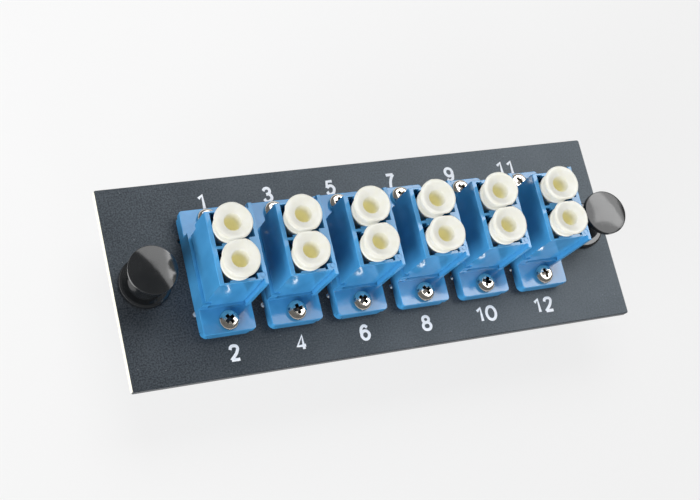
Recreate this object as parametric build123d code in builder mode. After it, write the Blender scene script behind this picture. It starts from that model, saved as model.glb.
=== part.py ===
from build123d import *
import os

# Fibre adapter panel: a steel plate with a row of duplex adapters, each screwed on by its flange,
# a dust cap in every port on both sides, and a push-pull latch at each end.
#
# Frame: origin at the middle of the plate's rear face, +X along the row, +Y towards the odd-numbered
# edge, +Z out of the front face. All sizes are in millimetres.

# ---------------------------------------------------------------- driving dimensions

# Plate
plate_w = 35.1              # short side, along Y
plate_t = 1.5
plate_corner_r = 0.4
plate_edge_r = 0.12

# The pattern of adapters and latches is a little off the plate's middle
pattern_x = 0.2
pattern_y = 0.4
adapter_count = 6

# Ports of one adapter
port_w = 5.1                # square mouth of a port
port_rib = 1.15             # wall between the two ports, along Y
side_wall = 0.575           # outside the ports, along Y
left_wall = 1.0             # behind the ports, on the side without latches
latch_room = 1.45           # depth of the connector's latch slot, along X
right_wall = 0.65
body_shift = -0.1           # middle of the body from the flange's middle, along X

# Adapter flange and its screws
flange_t = 2.57             # both halves together
flange_lap = 0.06           # the flange covers the cut-out by this much, along X
flange_gap = 2.87           # between neighbouring flanges
flange_end = 2.0            # from the screw's axis to the flange's end
flange_corner_r = 0.6
screw_stand = 2.75          # from the body's side to the screw's axis
cutout_clear = 0.45         # around the rear body, along X
cutout_end_clear = 0.25     # around the rear body, along Y
relief_r = 0.5              # corner relief of the cut-out

# Adapter heights
front_reach = 12.72         # from the flange to the front mouth
rear_reach = 12.75          # from the plate's front face to the rear mouth
floor_t = 1.3               # wall that carries the sleeve bosses, in each half
plinth_h = 0.7
plinth_out = 0.3
strip_w = 0.7               # raised strip along the latch side
strip_out = 0.68
groove_w = 0.22
groove_d = 0.2
edge_r = 0.12               # softened outer edges

# Mouth details
channel_w = 1.05            # corner channels on the left of each port
channel_step = 0.2          # they reach this much further left than the port
channel_wall = 0.3          # what they leave of the side wall
divider_t = 0.44            # thin end of the wall between the ports
tab_half = 1.1              # half of the tab between the two latch slots
shoulder_y = 5.0            # corner shoulder beside the latch slot, from the adapter's middle
notch_w = 0.45

# Sleeve bosses and sleeves
boss_r = 1.35
boss_h = 3.3                # above the floor
sleeve_r = 0.81
sleeve_wall = 0.18
sleeve_l = 6.8
sleeve_slit = 0.2
sleeve_clear = 0.05
ferrule_r = 0.66            # entry bore at the boss's tip

# Dust caps
cap_clear = 0.1             # around the stem in the port
cap_seat_gap = 0.05
cap_collar_lap = 0.25       # the collar laps the port's edge
cap_collar_t = 0.55
cap_waist_r = 2.45
cap_waist_ramp = 0.25       # height of the ramp from the collar to the waist
cap_flare_h = 0.8           # height over which the waist flares to the rim
cap_flare_r = 0.1           # how far it has flared at its start
cap_rim_r = 3.1
cap_rim_t = 0.5
cap_rim_w = 0.35            # flat ring around the funnel
cap_rim_slope = 0.15
cap_funnel_r = 2.0          # inside the funnel, part of the way down
cap_funnel_drop = 0.75
cap_h = 3.0                 # from the mouth to the rim's face
cap_hole_r = 1.0
cap_hole_l = 6.5            # blind hole, from the mouth's plane
cap_boss_lap = 0.995        # how far the stem reaches over the boss
cap_socket_clear = 0.25     # around the boss
cap_web_gap = 1.005         # from the boss's tip to the web in the stem

# Screws and nuts (M2)
screw_r = 1.0
screw_clear = 0.12
head_r = 1.75
head_h = 1.25
head_dome = 0.45
recess_w = 0.55
recess_l = 2.0
recess_h = 0.75
recess_taper = 12           # degrees
thread_clear = 0.02         # around the thread in its tapped hole
screw_l = 5.0               # under the head

# Push-pull latches
latch_gap = 7.415           # from the last flange's edge to the latch's axis
latch_inset = 5.35          # from the latch's axis to the plate's end
collar_r = 4.5
collar_t = 1.0
grommet_clear = 0.12        # in the plate's hole
grommet_l = 8.6             # behind the plate's front face
leg_slot_w = 0.9
leg_slot_from = 3.7         # behind the plate's front face
leg_tip_chamfer = 0.35
leg_wall = 0.35
shank_step = 0.2            # the full-round shank stands proud of the split legs
barrel_step = 0.2           # the barrel in the plate stands proud of the shank
stem_r = 2.05
stem_clear = 0.05
stop_lap = 0.45             # the stop ring stands proud of the stem
stop_t = 0.6
latch_stroke = 5.5
throat_l = 1.5              # narrow bore under the collar, behind the plate's front face
base_r = 3.3
base_h = 0.7
neck_r = 2.3
knob_r = 4.3
knob_rim_z = 7.2            # above the collar
knob_rim_t = 0.75
knob_rim_r = 0.25           # softened lower edge of the rim
knob_dome_h = 0.8
seat_gap = 0.02

# ---------------------------------------------------------------- sizes that follow

front_z = plate_t
port_pitch = port_w + port_rib
port_y = port_pitch / 2
body_w = port_pitch + port_w + 2 * side_wall
body_d = left_wall + port_w + latch_room + right_wall
body_left = body_shift - body_d / 2
body_right = body_shift + body_d / 2
port_x = body_left + left_wall + port_w / 2

cutout_w = body_d + 2 * cutout_clear
cutout_l = body_w + 2 * cutout_end_clear
flange_w = cutout_w + 2 * flange_lap
screw_y = body_w / 2 + screw_stand
flange_l = 2 * (screw_y + flange_end)
adapter_pitch = flange_w + flange_gap
adapter_x = [pattern_x + (i - (adapter_count - 1) / 2) * adapter_pitch for i in range(adapter_count)]

latch_x = (adapter_count - 1) / 2 * adapter_pitch + flange_w / 2 + latch_gap
plate_l = 2 * (latch_x + latch_inset)

split_z = front_z + flange_t / 2
flange_z = front_z + flange_t
mouth_z = flange_z + front_reach
rear_mouth_z = front_z - rear_reach
hole_r = screw_r + screw_clear
bore_r = sleeve_r + sleeve_clear
boss_tip = floor_t + boss_h
port_depth = min(front_reach, rear_reach) + flange_t / 2 - floor_t
cap_stem_r = port_w / 2 - cap_clear
cap_collar_r = port_w / 2 + cap_collar_lap
cap_stem_l = port_depth - boss_h + cap_boss_lap
cap_socket_l = cap_boss_lap + cap_web_gap
thread_r = screw_r + thread_clear
stop_r = stem_r + stop_lap
leg_r = stop_r + stem_clear + leg_wall
shank_r = leg_r + shank_step
barrel_r = shank_r + barrel_step
collar_z = front_z + collar_t

os.makedirs("parts", exist_ok=True)


def level(x, z):
    """Horizontal plane through an adapter's or latch's axis at height z."""
    return Plane(origin=(x, pattern_y, z))


def save(builder, node):
    """Label a finished piece and write it to its own file."""
    builder.part.label = node
    export_step(builder.part, f"parts/{node}.step")


def mouth_outline(port_side):
    """Outline of one port's mouth: port, corner channels, notch and latch slot. port_side is 1 or -1."""
    port_left = port_x - port_w / 2
    port_right = port_x + port_w / 2
    channel_x = port_left - channel_step
    inner_y = port_y - port_w / 2
    outer_y = port_y + port_w / 2
    channel_out = body_w / 2 - channel_wall
    channel_in = divider_t / 2
    with Locations((port_x, port_side * port_y)):
        Rectangle(port_w, port_w)
    with Locations((channel_x + channel_w / 2, port_side * (channel_in + channel_out) / 2)):
        Rectangle(channel_w, channel_out - channel_in)
    with Locations((port_right + notch_w / 2, port_side * (inner_y + channel_out) / 2)):
        Rectangle(notch_w, channel_out - inner_y)
    slot_right = port_right + latch_room
    with Locations(((port_right + slot_right) / 2, port_side * (tab_half + shoulder_y) / 2)):
        Rectangle(slot_right - port_right, shoulder_y - tab_half)


def build_plate():
    """Steel plate with its adapter cut-outs, tapped screw holes and latch holes."""
    with BuildPart() as plate:
        with BuildSketch():
            RectangleRounded(plate_l, plate_w, plate_corner_r)
        extrude(amount=plate_t)
        chamfer(plate.faces().sort_by(Axis.Z)[-1].edges(), plate_edge_r)
        chamfer(plate.faces().sort_by(Axis.Z)[0].edges(), plate_edge_r)
        for x in adapter_x:
            with BuildSketch(level(x, 0)):
                Rectangle(cutout_w, cutout_l)
                with GridLocations(cutout_w, cutout_l, 2, 2):
                    Circle(relief_r)
                with GridLocations(1, 2 * screw_y, 1, 2):
                    Circle(thread_r)
            extrude(amount=plate_t, mode=Mode.SUBTRACT)
        with BuildSketch(level(pattern_x, 0)):
            with GridLocations(2 * latch_x, 1, 2, 1):
                Circle(barrel_r + grommet_clear)
        extrude(amount=plate_t, mode=Mode.SUBTRACT)
    return plate


def build_front_housing(x):
    """Front half of an adapter: upper flange, plinth, shell with two ports, sleeve bosses."""
    with BuildPart() as housing:
        with BuildSketch(level(x, split_z)):
            RectangleRounded(flange_w, flange_l, flange_corner_r)
        extrude(amount=flange_t / 2)
        fillet(housing.faces().sort_by(Axis.Z)[-1].edges(), edge_r)
        with BuildSketch(level(x, flange_z - edge_r)):
            with Locations((body_shift, 0)):
                Rectangle(body_d + 2 * plinth_out, body_w + 2 * plinth_out)
        extrude(amount=plinth_h + edge_r)
        with BuildSketch(level(x, flange_z)):
            with Locations((body_shift, 0)):
                Rectangle(body_d, body_w)
            with Locations((body_right - strip_w / 2, 0)):
                Rectangle(strip_w, body_w + 2 * strip_out)
        extrude(amount=front_reach)
        fillet(housing.faces().sort_by(Axis.Z)[-1].outer_wire().edges(), edge_r)
        with BuildSketch(level(x, flange_z + plinth_h)):
            groove_y = body_w / 2 - groove_d / 2
            for side in (-1, 1):
                with Locations((body_right - strip_w - groove_w / 2, side * groove_y)):
                    Rectangle(groove_w, groove_d)
        extrude(amount=front_reach, mode=Mode.SUBTRACT)
        with BuildSketch(level(x, split_z + floor_t)):
            for side in (-1, 1):
                mouth_outline(side)
        extrude(amount=front_reach + flange_t, mode=Mode.SUBTRACT)
        with BuildSketch(level(x, split_z)):
            with GridLocations(1, port_pitch, 1, 2):
                with Locations((port_x, 0)):
                    Circle(boss_r)
        extrude(amount=boss_tip)
        with BuildSketch(level(x, split_z)):
            with GridLocations(1, port_pitch, 1, 2):
                with Locations((port_x, 0)):
                    Circle(ferrule_r)
        extrude(amount=boss_tip, mode=Mode.SUBTRACT)
        with BuildSketch(level(x, split_z)):
            with GridLocations(1, port_pitch, 1, 2):
                with Locations((port_x, 0)):
                    Circle(bore_r)
        extrude(amount=sleeve_l / 2 + sleeve_clear, mode=Mode.SUBTRACT)
        with BuildSketch(level(x, split_z)):
            with GridLocations(1, 2 * screw_y, 1, 2):
                Circle(hole_r)
        extrude(amount=flange_t, mode=Mode.SUBTRACT)
    return housing


def build_rear_housing(x):
    """Rear half of an adapter: lower flange on the plate, shell through the cut-out, sleeve bosses."""
    with BuildPart() as housing:
        with BuildSketch(level(x, front_z)):
            RectangleRounded(flange_w, flange_l, 2 * flange_corner_r)
        extrude(amount=flange_t / 2)
        with BuildSketch(level(x, split_z)):
            with Locations((body_shift, 0)):
                Rectangle(body_d, body_w)
        extrude(amount=rear_mouth_z - split_z)
        fillet(housing.faces().sort_by(Axis.Z)[0].edges(), edge_r)
        with BuildSketch(level(x, split_z - floor_t)):
            for side in (-1, 1):
                mouth_outline(side)
        extrude(amount=-rear_reach, mode=Mode.SUBTRACT)
        with BuildSketch(level(x, split_z)):
            with GridLocations(1, port_pitch, 1, 2):
                with Locations((port_x, 0)):
                    Circle(boss_r)
        extrude(amount=-boss_tip)
        with BuildSketch(level(x, split_z)):
            with GridLocations(1, port_pitch, 1, 2):
                with Locations((port_x, 0)):
                    Circle(ferrule_r)
        extrude(amount=-boss_tip, mode=Mode.SUBTRACT)
        with BuildSketch(level(x, split_z)):
            with GridLocations(1, port_pitch, 1, 2):
                with Locations((port_x, 0)):
                    Circle(bore_r)
        extrude(amount=-(sleeve_l / 2 + sleeve_clear), mode=Mode.SUBTRACT)
        with BuildSketch(level(x, front_z)):
            with GridLocations(1, 2 * screw_y, 1, 2):
                Circle(hole_r)
        extrude(amount=flange_t, mode=Mode.SUBTRACT)
    return housing


def build_sleeves(x):
    """The two split alignment sleeves of one adapter."""
    with BuildPart() as sleeves:
        with BuildSketch(level(x, split_z - sleeve_l / 2)):
            with GridLocations(1, port_pitch, 1, 2):
                with Locations((port_x, 0)):
                    Circle(sleeve_r)
                    Circle(sleeve_r - sleeve_wall, mode=Mode.SUBTRACT)
            with GridLocations(1, port_pitch, 1, 2):
                with Locations((port_x + sleeve_r, 0)):
                    Rectangle(2 * sleeve_r, sleeve_slit, mode=Mode.SUBTRACT)
        extrude(amount=sleeve_l)
    return sleeves


def build_cap(x, y, seat_z, out):
    """Dust cap: stem in the port, collar on the mouth, flared rim. out is 1 in front and -1 behind."""
    funnel_r = cap_rim_r - cap_rim_w
    waist_z = cap_collar_t + cap_waist_ramp
    flare_z = cap_h - cap_rim_t
    socket_r = boss_r + cap_socket_clear
    base = seat_z + out * cap_seat_gap
    profile_plane = Plane(origin=(x, y, base), x_dir=(1, 0, 0), z_dir=(0, -out, 0))
    with BuildPart() as cap:
        with BuildSketch(profile_plane):
            with BuildLine():
                web_bottom = -cap_stem_l + cap_socket_l
                Polyline(
                    (0, web_bottom),
                    (socket_r, web_bottom),
                    (socket_r, -cap_stem_l),
                    (cap_stem_r, -cap_stem_l),
                    (cap_stem_r, 0),
                    (cap_collar_r, 0),
                    (cap_collar_r, cap_collar_t),
                    (cap_waist_r, waist_z),
                )
                Spline(
                    (cap_waist_r, waist_z),
                    (cap_waist_r + cap_flare_r, flare_z - cap_flare_h),
                    (cap_rim_r, flare_z),
                )
                Polyline(
                    (cap_rim_r, flare_z),
                    (cap_rim_r, cap_h - cap_rim_slope),
                    (funnel_r, cap_h),
                )
                Spline(
                    (funnel_r, cap_h),
                    (cap_funnel_r, cap_h - cap_funnel_drop),
                    (cap_hole_r, 0),
                    tangents=((-0.4, -1), (0, -1)),
                )
                Polyline(
                    (cap_hole_r, 0),
                    (cap_hole_r, -cap_hole_l),
                    (0, -cap_hole_l),
                    (0, web_bottom),
                )
            make_face()
        revolve(axis=Axis((x, y, base), (0, 0, 1)))
    return cap


def build_screws():
    """All flange screws: pan head with a cross recess, plain shank."""
    with BuildPart() as screws:
        for x in adapter_x:
            with BuildSketch(level(x, flange_z)):
                with GridLocations(1, 2 * screw_y, 1, 2):
                    Circle(head_r)
            extrude(amount=head_h)
        for top in screws.faces().group_by(Axis.Z)[-1]:
            fillet(top.edges(), head_dome)
        for x in adapter_x:
            with BuildSketch(level(x, flange_z + head_h)):
                with GridLocations(1, 2 * screw_y, 1, 2):
                    Rectangle(recess_l, recess_w)
                    Rectangle(recess_w, recess_l)
            extrude(amount=-recess_h, taper=recess_taper, mode=Mode.SUBTRACT)
            with BuildSketch(level(x, flange_z)):
                with GridLocations(1, 2 * screw_y, 1, 2):
                    Circle(screw_r)
            extrude(amount=-screw_l)
    return screws


def build_grommet(x):
    """Latch grommet: collar on the plate, barrel in it, shank and split legs behind it, stepped bore."""
    with BuildPart() as grommet:
        with BuildSketch(level(x, front_z)):
            Circle(collar_r)
        extrude(amount=collar_t)
        fillet(grommet.edges().sort_by(Axis.Z)[-1], collar_t / 2)
        with BuildSketch(level(x, front_z)):
            Circle(barrel_r)
        extrude(amount=-plate_t)
        with BuildSketch(level(x, 0)):
            Circle(shank_r)
        extrude(amount=-(leg_slot_from - front_z))
        with BuildSketch(level(x, front_z - leg_slot_from)):
            Circle(leg_r)
        extrude(amount=-(grommet_l - leg_slot_from))
        chamfer(grommet.edges().sort_by(Axis.Z)[0], leg_tip_chamfer)
        with BuildSketch(level(x, front_z - grommet_l)):
            Circle(stem_r + stem_clear)
        extrude(amount=grommet_l + collar_t, mode=Mode.SUBTRACT)
        with BuildSketch(level(x, front_z - grommet_l)):
            Circle(stop_r + stem_clear)
        extrude(amount=grommet_l - throat_l, mode=Mode.SUBTRACT)
        with BuildSketch(level(x, front_z - grommet_l)):
            Rectangle(2 * leg_r, leg_slot_w)
            Rectangle(leg_slot_w, 2 * leg_r)
        extrude(amount=grommet_l - leg_slot_from, mode=Mode.SUBTRACT)
    return grommet


def build_plunger(x):
    """Latch plunger: mushroom knob, waisted neck, stem with a stop ring that sets the stroke."""
    stop_top = front_z - throat_l - latch_stroke
    base = collar_z + seat_gap
    knob_rim_top = knob_rim_z + knob_rim_t
    dome_r = (knob_r**2 + knob_dome_h**2) / (2 * knob_dome_h)
    with BuildPart() as plunger:
        with BuildSketch(Plane(origin=(x, pattern_y, base), x_dir=(1, 0, 0), z_dir=(0, -1, 0))):
            with BuildLine():
                Polyline(
                    (0, stop_top - stop_t - base),
                    (stop_r, stop_top - stop_t - base),
                    (stop_r, stop_top - base),
                    (stem_r, stop_top - base),
                    (stem_r, 0),
                    (base_r, 0),
                    (base_r, base_h),
                )
                Spline(
                    (base_r, base_h),
                    (neck_r, (base_h + knob_rim_z) / 2),
                    (knob_r - knob_rim_r, knob_rim_z),
                )
                Polyline(
                    (knob_r - knob_rim_r, knob_rim_z),
                    (knob_r, knob_rim_z + knob_rim_r),
                    (knob_r, knob_rim_top),
                )
                RadiusArc((knob_r, knob_rim_top), (0, knob_rim_top + knob_dome_h), -dome_r)
                Line((0, knob_rim_top + knob_dome_h), (0, stop_top - stop_t - base))
            make_face()
        revolve(axis=Axis((x, pattern_y, base), (0, 0, 1)))
    return plunger


# ---------------------------------------------------------------- the pieces

save(build_plate(), "panel_plate")
for i, x in enumerate(adapter_x, start=1):
    save(build_front_housing(x), f"front_housing_{i}")
    save(build_rear_housing(x), f"rear_housing_{i}")
    save(build_sleeves(x), f"split_sleeves_{i}")
    for side, number in ((1, 2 * i - 1), (-1, 2 * i)):
        port = (x + port_x, pattern_y + side * port_y)
        save(build_cap(*port, mouth_z, 1), f"front_cap_{number:02d}")
        save(build_cap(*port, rear_mouth_z, -1), f"rear_cap_{number:02d}")
save(build_screws(), "flange_screws")
for name, x in (("left", pattern_x - latch_x), ("right", pattern_x + latch_x)):
    save(build_grommet(x), f"grommet_{name}")
    save(build_plunger(x), f"plunger_{name}")
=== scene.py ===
"""Looks of a fibre adapter panel: dark steel plate, duplex adapters, dust caps, push-pull latches.

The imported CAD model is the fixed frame. The plate and the sleeves keep their CAD meshes; the moulded
housings, dust caps, screws, grommets and plungers are finished pieces that stand in for CAD nodes.
Lengths are in metres, in the model's own frame: +X along the row, +Z out of the plate's front face.
"""
import sys

import logging
import math
import random
from dataclasses import dataclass
from enum import Enum
from typing import Any, Optional, Sequence, Union

import bmesh
import bpy
from mathutils import Matrix, Vector


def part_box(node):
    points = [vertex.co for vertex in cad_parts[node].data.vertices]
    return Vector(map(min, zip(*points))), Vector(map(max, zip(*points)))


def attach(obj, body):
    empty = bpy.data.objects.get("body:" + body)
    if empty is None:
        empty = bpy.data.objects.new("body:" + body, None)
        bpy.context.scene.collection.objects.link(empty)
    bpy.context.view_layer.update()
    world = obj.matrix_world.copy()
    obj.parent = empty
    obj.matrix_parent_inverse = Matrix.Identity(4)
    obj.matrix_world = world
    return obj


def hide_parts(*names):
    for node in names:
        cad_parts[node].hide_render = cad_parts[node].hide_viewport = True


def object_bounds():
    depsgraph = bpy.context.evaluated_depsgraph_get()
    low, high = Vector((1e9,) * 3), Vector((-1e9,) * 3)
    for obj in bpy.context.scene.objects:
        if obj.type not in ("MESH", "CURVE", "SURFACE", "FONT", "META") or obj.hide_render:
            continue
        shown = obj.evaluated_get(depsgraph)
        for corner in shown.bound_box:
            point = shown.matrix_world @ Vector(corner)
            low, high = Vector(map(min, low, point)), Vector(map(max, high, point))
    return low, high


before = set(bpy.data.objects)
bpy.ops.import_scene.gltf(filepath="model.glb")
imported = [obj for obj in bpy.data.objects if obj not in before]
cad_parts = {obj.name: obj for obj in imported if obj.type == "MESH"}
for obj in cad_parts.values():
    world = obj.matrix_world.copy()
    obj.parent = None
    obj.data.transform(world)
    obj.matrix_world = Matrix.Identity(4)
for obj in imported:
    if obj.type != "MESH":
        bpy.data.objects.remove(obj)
CAD_LOW, CAD_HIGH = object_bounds()

LOG = logging.getLogger("panel")
MM = 0.001
ADAPTERS = 6
PLATE_BODY = "panel"
# Vertices closer than this are one; faces that turn by less than this, in degrees, are one flat area.
MERGE = 0.0005 * MM
FLAT_ANGLE = 0.5
# Gap between two faces that would otherwise lie in one plane.
HAIR = 0.02 * MM

Point2 = tuple[float, float]
Point3 = tuple[float, float, float]
Colour = Point3
Number = Union[float, "Socket"]


# ---- shader maths ----


class Socket:
    """A shader output that takes part in Python arithmetic, each operator adding its Math node."""

    def __init__(self, graph: "Graph", output: bpy.types.NodeSocket) -> None:
        """Wrap a node's output; new nodes go into its graph."""
        self.graph = graph
        self.output = output

    def _math(self, operation: str, *operands: Number) -> "Socket":
        """Add a Math node over these operands and return its result."""
        return self.graph.add("Math", {"operation": operation}, dict(enumerate(operands)))

    def __add__(self, other: Number) -> "Socket":
        """Sum."""
        return self._math("ADD", self, other)

    def __mul__(self, other: Number) -> "Socket":
        """Product."""
        return self._math("MULTIPLY", self, other)

    def __sub__(self, other: Number) -> "Socket":
        """Difference."""
        return self._math("SUBTRACT", self, other)

    def smooth(self, low: float, high: float) -> "Socket":
        """Smooth step from 0 at low to 1 at high; low may be the larger of the two.

        Args:
            low: Value that gives 0.
            high: Value that gives 1.

        Returns:
            The stepped value.
        """
        ends = {"Value": self, "From Min": min(low, high), "From Max": max(low, high)}
        flip = {"To Min": 0.0, "To Max": 1.0} if low < high else {"To Min": 1.0, "To Max": 0.0}
        return self.graph.add("MapRange", {"interpolation_type": "SMOOTHSTEP"}, {**ends, **flip})


class Graph:
    """One material's node graph."""

    def __init__(self, name: str) -> None:
        """Start a material with a Principled surface.

        Args:
            name: The material's name.
        """
        self.material = bpy.data.materials.new(name)
        self.material.use_nodes = True
        self.nodes = self.material.node_tree.nodes
        self.links = self.material.node_tree.links
        self.nodes.clear()
        self.surface = self.nodes.new("ShaderNodeBsdfPrincipled")
        self.end = self.nodes.new("ShaderNodeOutputMaterial")
        self.links.new(self.surface.outputs[0], self.end.inputs["Surface"])

    def add(
        self,
        kind: str,
        settings: Optional[dict[str, Any]] = None,
        inputs: Optional[dict[Union[int, str], Any]] = None,
        output: Union[int, str] = 0,
    ) -> Socket:
        """Add a node of any type.

        Args:
            kind: The node's type, without its ShaderNode prefix.
            settings: The node's own settings, set first.
            inputs: Values or sockets for its inputs, by index or name.
            output: The output that is wanted.

        Returns:
            That output.
        """
        node = self.nodes.new(f"ShaderNode{kind}")
        for key, value in (settings or {}).items():
            setattr(node, key, value)
        self._feed(node, inputs or {})
        return Socket(self, node.outputs[output])

    def _feed(self, node: bpy.types.Node, inputs: dict[Union[int, str], Any]) -> None:
        """Set or link a node's inputs."""
        for key, value in inputs.items():
            if isinstance(value, Socket):
                self.links.new(value.output, node.inputs[key])
            elif value is not None:
                node.inputs[key].default_value = value

    def principled(self, **inputs: Any) -> None:
        """Set or link inputs of the surface; spaces in their names are written as underscores."""
        self._feed(self.surface, {key.replace("_", " "): value for key, value in inputs.items()})

    def place(self) -> Socket:
        """The point on the piece, in metres, in the model's frame."""
        return self.add("TexCoord", output="Object")

    def attribute(self, name: str) -> Socket:
        """A value that the mesh carries at each vertex."""
        return self.add("Attribute", {"attribute_name": name}, output="Fac")

    def noise(
        self, size: float, detail: float = 2.0, rough: float = 0.5, stretch: Optional[Point3] = None
    ) -> Socket:
        """Noise with features of one size.

        Args:
            size: Size of a feature, in metres.
            detail: Octaves of finer noise.
            rough: Strength of the finer octaves.
            stretch: Scale along each axis, to draw the noise out.

        Returns:
            A value around 0.5.
        """
        where = self.place()
        if stretch is not None:
            where = self.add("Mapping", None, {"Vector": where, "Scale": stretch})
        inputs = {"Vector": where, "Scale": 1 / size, "Detail": detail, "Roughness": rough}
        return self.add("TexNoise", None, inputs)

    def specks(self, cell: float, radius: float, share: float) -> Socket:
        """Sparse round specks.

        Args:
            cell: Spacing of the cells that may hold a speck, in metres.
            radius: Radius of the largest speck, as a share of a cell.
            share: Share of the cells that hold one.

        Returns:
            A mask, 1 on a speck.
        """
        node = {"Vector": self.place(), "Scale": 1 / cell}
        near = self.add("TexVoronoi", None, node, "Distance")
        lot = self.add("TexVoronoi", None, node, "Color")
        pick = self.add("SeparateColor", None, {"Color": lot}, "Red")
        return near.smooth(radius, 0.4 * radius) * pick.smooth(1 - share, 1 - 0.6 * share)

    def mix(self, factor: Number, first: Any, second: Any) -> Socket:
        """Blend two colours.

        Args:
            factor: 0 for the first, 1 for the second.
            first: A colour or a socket.
            second: A colour or a socket.

        Returns:
            The blended colour.
        """
        one, two = (c if isinstance(c, Socket) else (*c, 1.0) for c in (first, second))
        return self.add("Mix", {"data_type": "RGBA"}, {0: factor, 6: one, 7: two}, 2)

    def bump(self, height: Socket, depth: float, strength: float = 1.0) -> Socket:
        """Turn a height into a normal; depth is what a height of 1 measures, in metres."""
        return self.add("Bump", None, {"Height": height, "Distance": depth, "Strength": strength})


# ---- finishes ----


@dataclass(frozen=True)
class PowderCoat:
    """Fine-textured dark slate powder coat with pale specks, and a pale strip on the left edge that is
    partly the bare sheet edge and partly a painted highlight.
    """

    dark: Colour = (0.009, 0.011, 0.014)
    light: Colour = (0.044, 0.050, 0.058)
    speck: Colour = (0.26, 0.27, 0.29)
    # Pale strip on the left edge: partly the bare sheet edge, partly a painted highlight.
    bare: Colour = (0.80, 0.78, 0.66)
    bare_w: float = 0.13 * MM
    grain: float = 0.30 * MM
    roughness: float = 0.42

    def material(self) -> bpy.types.Material:
        """Build the material."""
        graph = Graph("powder_coat")
        grain = graph.noise(self.grain, 3.0, 0.6)
        cloud = graph.noise(9 * MM, 2.0, 0.5)
        tone = (grain * 0.8 + cloud * 0.2).smooth(0.36, 0.64)
        base = graph.mix(tone, self.dark, self.light)
        fleck = graph.specks(0.9 * MM, 0.12, 0.14) * 0.6 + graph.specks(4.1 * MM, 0.03, 0.5) * 0.9
        colour = graph.mix(fleck, base, self.speck)
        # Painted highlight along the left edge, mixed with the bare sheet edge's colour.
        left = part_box("panel_plate")[0].x
        along = graph.add("SeparateXYZ", None, {"Vector": graph.place()}, "X")
        bare = along.smooth(left + self.bare_w, left + 0.3 * self.bare_w)
        colour = graph.mix(bare, colour, self.bare)
        pits = graph.noise(0.16 * MM, 1.0, 0.5)
        normal = graph.bump(grain * 0.7 + pits * 0.3, 0.03 * MM, 0.8)
        graph.principled(
            Base_Color=colour,
            Roughness=(grain - 0.5) * 0.25 + self.roughness,
            IOR=1.44,
            Specular_Tint=(0.76, 0.90, 1.0, 1.0),
            Normal=normal,
        )
        return graph.material


@dataclass(frozen=True)
class MouldedPlastic:
    """Glossy moulded plastic with a faint flow and scuffs that show in its gloss."""

    name: str
    dark: Colour
    light: Colour
    roughness: float = 0.10
    scuff: float = 0.10
    wave: float = 0.004 * MM
    dust: Colour = (0.75, 0.80, 0.85)

    def material(self) -> bpy.types.Material:
        """Build the material."""
        graph = Graph(self.name)
        flow = graph.noise(3.2 * MM, 2.0, 0.5, (1.0, 1.0, 0.35))
        fine = graph.noise(0.35 * MM, 3.0, 0.6)
        rub = graph.noise(1.1 * MM, 4.0, 0.65, (1.0, 0.6, 1.8)).smooth(0.52, 0.75)
        dust = graph.specks(1.6 * MM, 0.045, 0.12)
        base = graph.mix(flow.smooth(0.3, 0.7), self.dark, self.light)
        colour = graph.mix(dust * 0.45, base, self.dust)
        graph.principled(
            Base_Color=colour,
            Roughness=rub * self.scuff + (fine - 0.5) * 0.05 + self.roughness,
            IOR=1.62,
            Normal=graph.bump(flow * 0.8 + fine * 0.2, self.wave, 0.8),
        )
        return graph.material


@dataclass(frozen=True)
class CapPlastic:
    """Soft ivory polyethylene, milky, yellow inside the hole; the head and the hole also glow, painted
    light standing in for light through the plastic.
    """

    milk: Colour = (0.42, 0.42, 0.395)
    cream: Colour = (0.40, 0.395, 0.345)
    stem: Colour = (0.80, 0.79, 0.72)
    # Yellow of the hole: partly the plastic's own tint, partly painted light through the plastic.
    depth: Colour = (0.80, 0.755, 0.50)
    # Painted light: a glow on the head which, with its dimmed base colour, evens out the head's
    # shading.
    milk_glow: Colour = (0.28, 0.28, 0.255)
    # Painted glow in the hole.
    depth_glow: Colour = (0.12, 0.115, 0.065)
    roughness: float = 0.34

    def material(self) -> bpy.types.Material:
        """Build the material."""
        graph = Graph("cap_plastic")
        cloud = graph.noise(1.4 * MM, 3.0, 0.55)
        fine = graph.noise(0.22 * MM, 2.0, 0.5)
        radius = graph.attribute("axis_distance")
        height = graph.attribute("height")
        inside = radius.smooth(1.7, 1.5) * height.smooth(2.45, -0.6)
        # Painted light: above the mouth the cap gets a glow and a dimmer base colour than the stem.
        head = height.smooth(0.1, 0.7)
        glow = graph.mix(head, (0.0, 0.0, 0.0), self.milk_glow)
        milk = graph.mix(cloud.smooth(0.35, 0.7), self.milk, self.cream)
        # Painted light in the hole: a lighter yellow base colour here, and a glow in the emission
        # below.
        colour = graph.mix(inside, graph.mix(head, self.stem, milk), self.depth)
        graph.principled(
            Base_Color=colour,
            Roughness=(cloud - 0.5) * 0.2 + self.roughness,
            Normal=graph.bump(cloud * 0.7 + fine * 0.3, 0.012 * MM, 0.6),
            Emission_Color=graph.mix(inside, glow, self.depth_glow),
            Emission_Strength=1.0,
            Subsurface_Weight=0.35,
            Subsurface_Radius=(1.0, 0.9, 0.6),
            Subsurface_Scale=0.6 * MM,
        )
        return graph.material


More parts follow.
